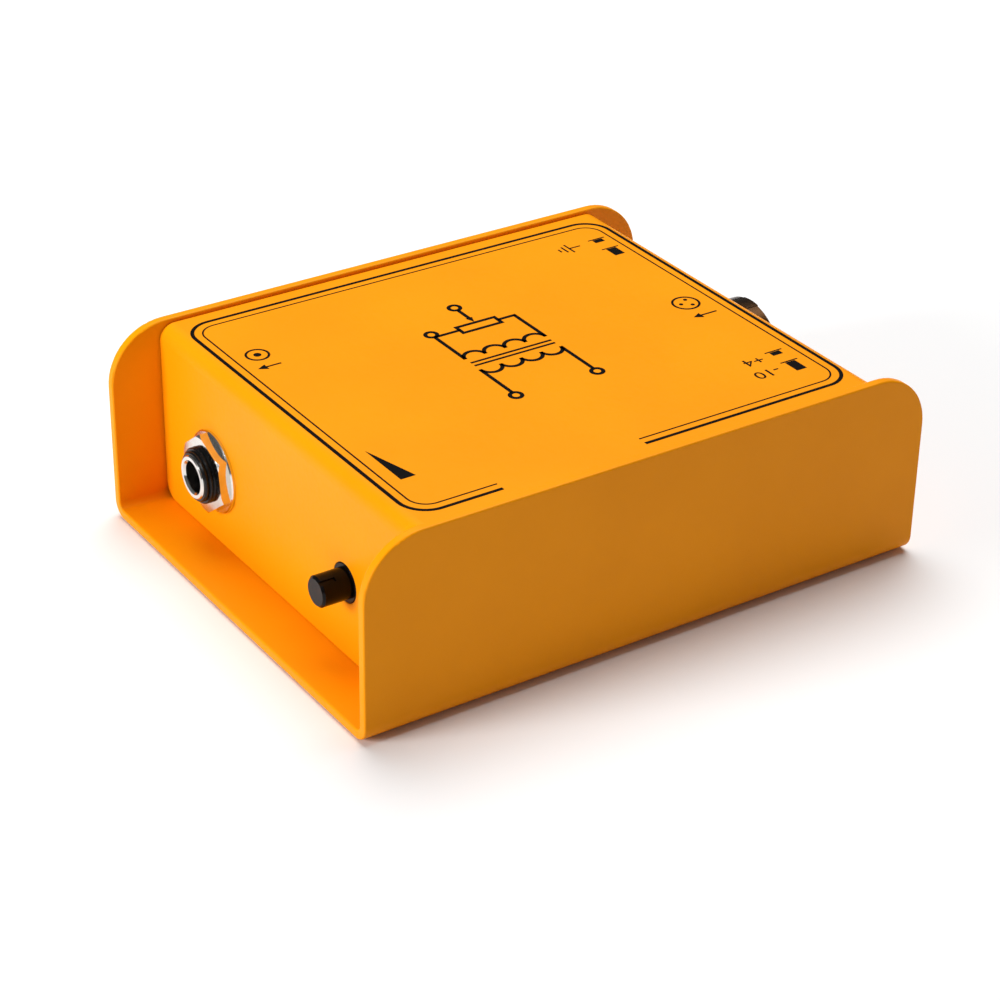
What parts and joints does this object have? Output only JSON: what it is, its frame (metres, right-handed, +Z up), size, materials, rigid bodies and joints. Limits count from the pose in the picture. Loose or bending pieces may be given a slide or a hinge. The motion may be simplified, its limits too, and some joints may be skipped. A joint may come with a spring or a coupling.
{
  "type": "re-amplification box",
  "caption": "Small passive audio box of bent orange sheet steel: line socket and push buttons at the rear, 1/4 inch output jack and level shaft at the front.",
  "frame": {"origin": "middle of the underside of the chassis", "axes": "+X to the right seen from the front, -Y out of the front panel with the output jack, +Z up"},
  "size_m": [0.1, 0.13, 0.042],
  "materials": {
    "orange_coat": "satin",
    "cover_coat": "satin",
    "black_screws": "satin",
    "zinc_steel": "satin",
    "nickel": "polished",
    "jack_plastic": "gloss",
    "control_plastic": "satin",
    "socket_metal": "gloss",
    "button_plastic": "satin",
    "contact_brass": "satin",
    "spring_steel": "satin",
    "board_laminate": "satin",
    "core_steel": "matt",
    "bobbin_plastic": "matt",
    "winding_tape": "gloss",
    "resistor_lacquer": "gloss",
    "capacitor_plastic": "satin",
    "print_ink": "satin"
  },
  "bodies": {
    "box": {"chassis": "orange_coat", "top_cover": "cover_coat", "front_bracket": "zinc_steel", "rear_bracket": "zinc_steel", "bracket_nuts": "zinc_steel", "cover_screws": "black_screws", "circuit_board": "board_laminate", "jack_body": "jack_plastic", "jack_ferrule": "nickel", "jack_washer": "nickel", "jack_nut": "nickel", "jack_tip_contact": "spring_steel", "jack_sleeve_contact": "spring_steel", "pot_case": "zinc_steel", "pot_bush": "control_plastic", "pot_track": "board_laminate", "pot_pins": "zinc_steel", "socket_shell": "socket_metal", "socket_insert": "jack_plastic", "socket_contacts": "contact_brass", "socket_latch_pin": "spring_steel", "socket_latch_spring": "spring_steel", "socket_screws": "black_screws", "ground_switch_body": "jack_plastic", "ground_switch_spring": "spring_steel", "ground_switch_pins": "zinc_steel", "level_switch_body": "jack_plastic", "level_switch_spring": "spring_steel", "level_switch_pins": "zinc_steel", "transformer_core": "core_steel", "transformer_bobbin": "bobbin_plastic", "transformer_winding": "winding_tape", "transformer_pins": "zinc_steel", "resistors": "resistor_lacquer", "film_capacitors": "capacitor_plastic"},
    "level_shaft": {"pot_shaft": "control_plastic", "pot_wiper": "bobbin_plastic"},
    "ground_button": {"ground_switch_plunger": "bobbin_plastic", "ground_switch_cap": "button_plastic"},
    "level_button": {"level_switch_plunger": "bobbin_plastic", "level_switch_cap": "button_plastic"},
    "latch_lever": {"socket_latch": "socket_metal"}
  },
  "joints": [
    {"name": "level_turn", "type": "hinge", "parent": "box", "child": "level_shaft", "pos_m": [0.02485, -0.054, 0.0183], "axis": [0, -1, 0], "range_deg": [-118, 182]},
    {"name": "ground_press", "type": "slide", "parent": "box", "child": "ground_button", "axis": [0, -1, 0], "range_m": [0, 0.0025], "stiffness_N_per_m": 250, "deforming": ["ground_switch_spring"]},
    {"name": "level_press", "type": "slide", "parent": "box", "child": "level_button", "axis": [0, -1, 0], "range_m": [0, 0.0025], "stiffness_N_per_m": 250, "deforming": ["level_switch_spring"]},
    {"name": "latch_press", "type": "hinge", "parent": "box", "child": "latch_lever", "pos_m": [0, 0.0546, 0.03665], "axis": [1, 0, 0], "range_deg": [-8, 0], "stiffness_Nm_per_rad": 0.05, "deforming": ["socket_latch_spring"]}
  ]
}
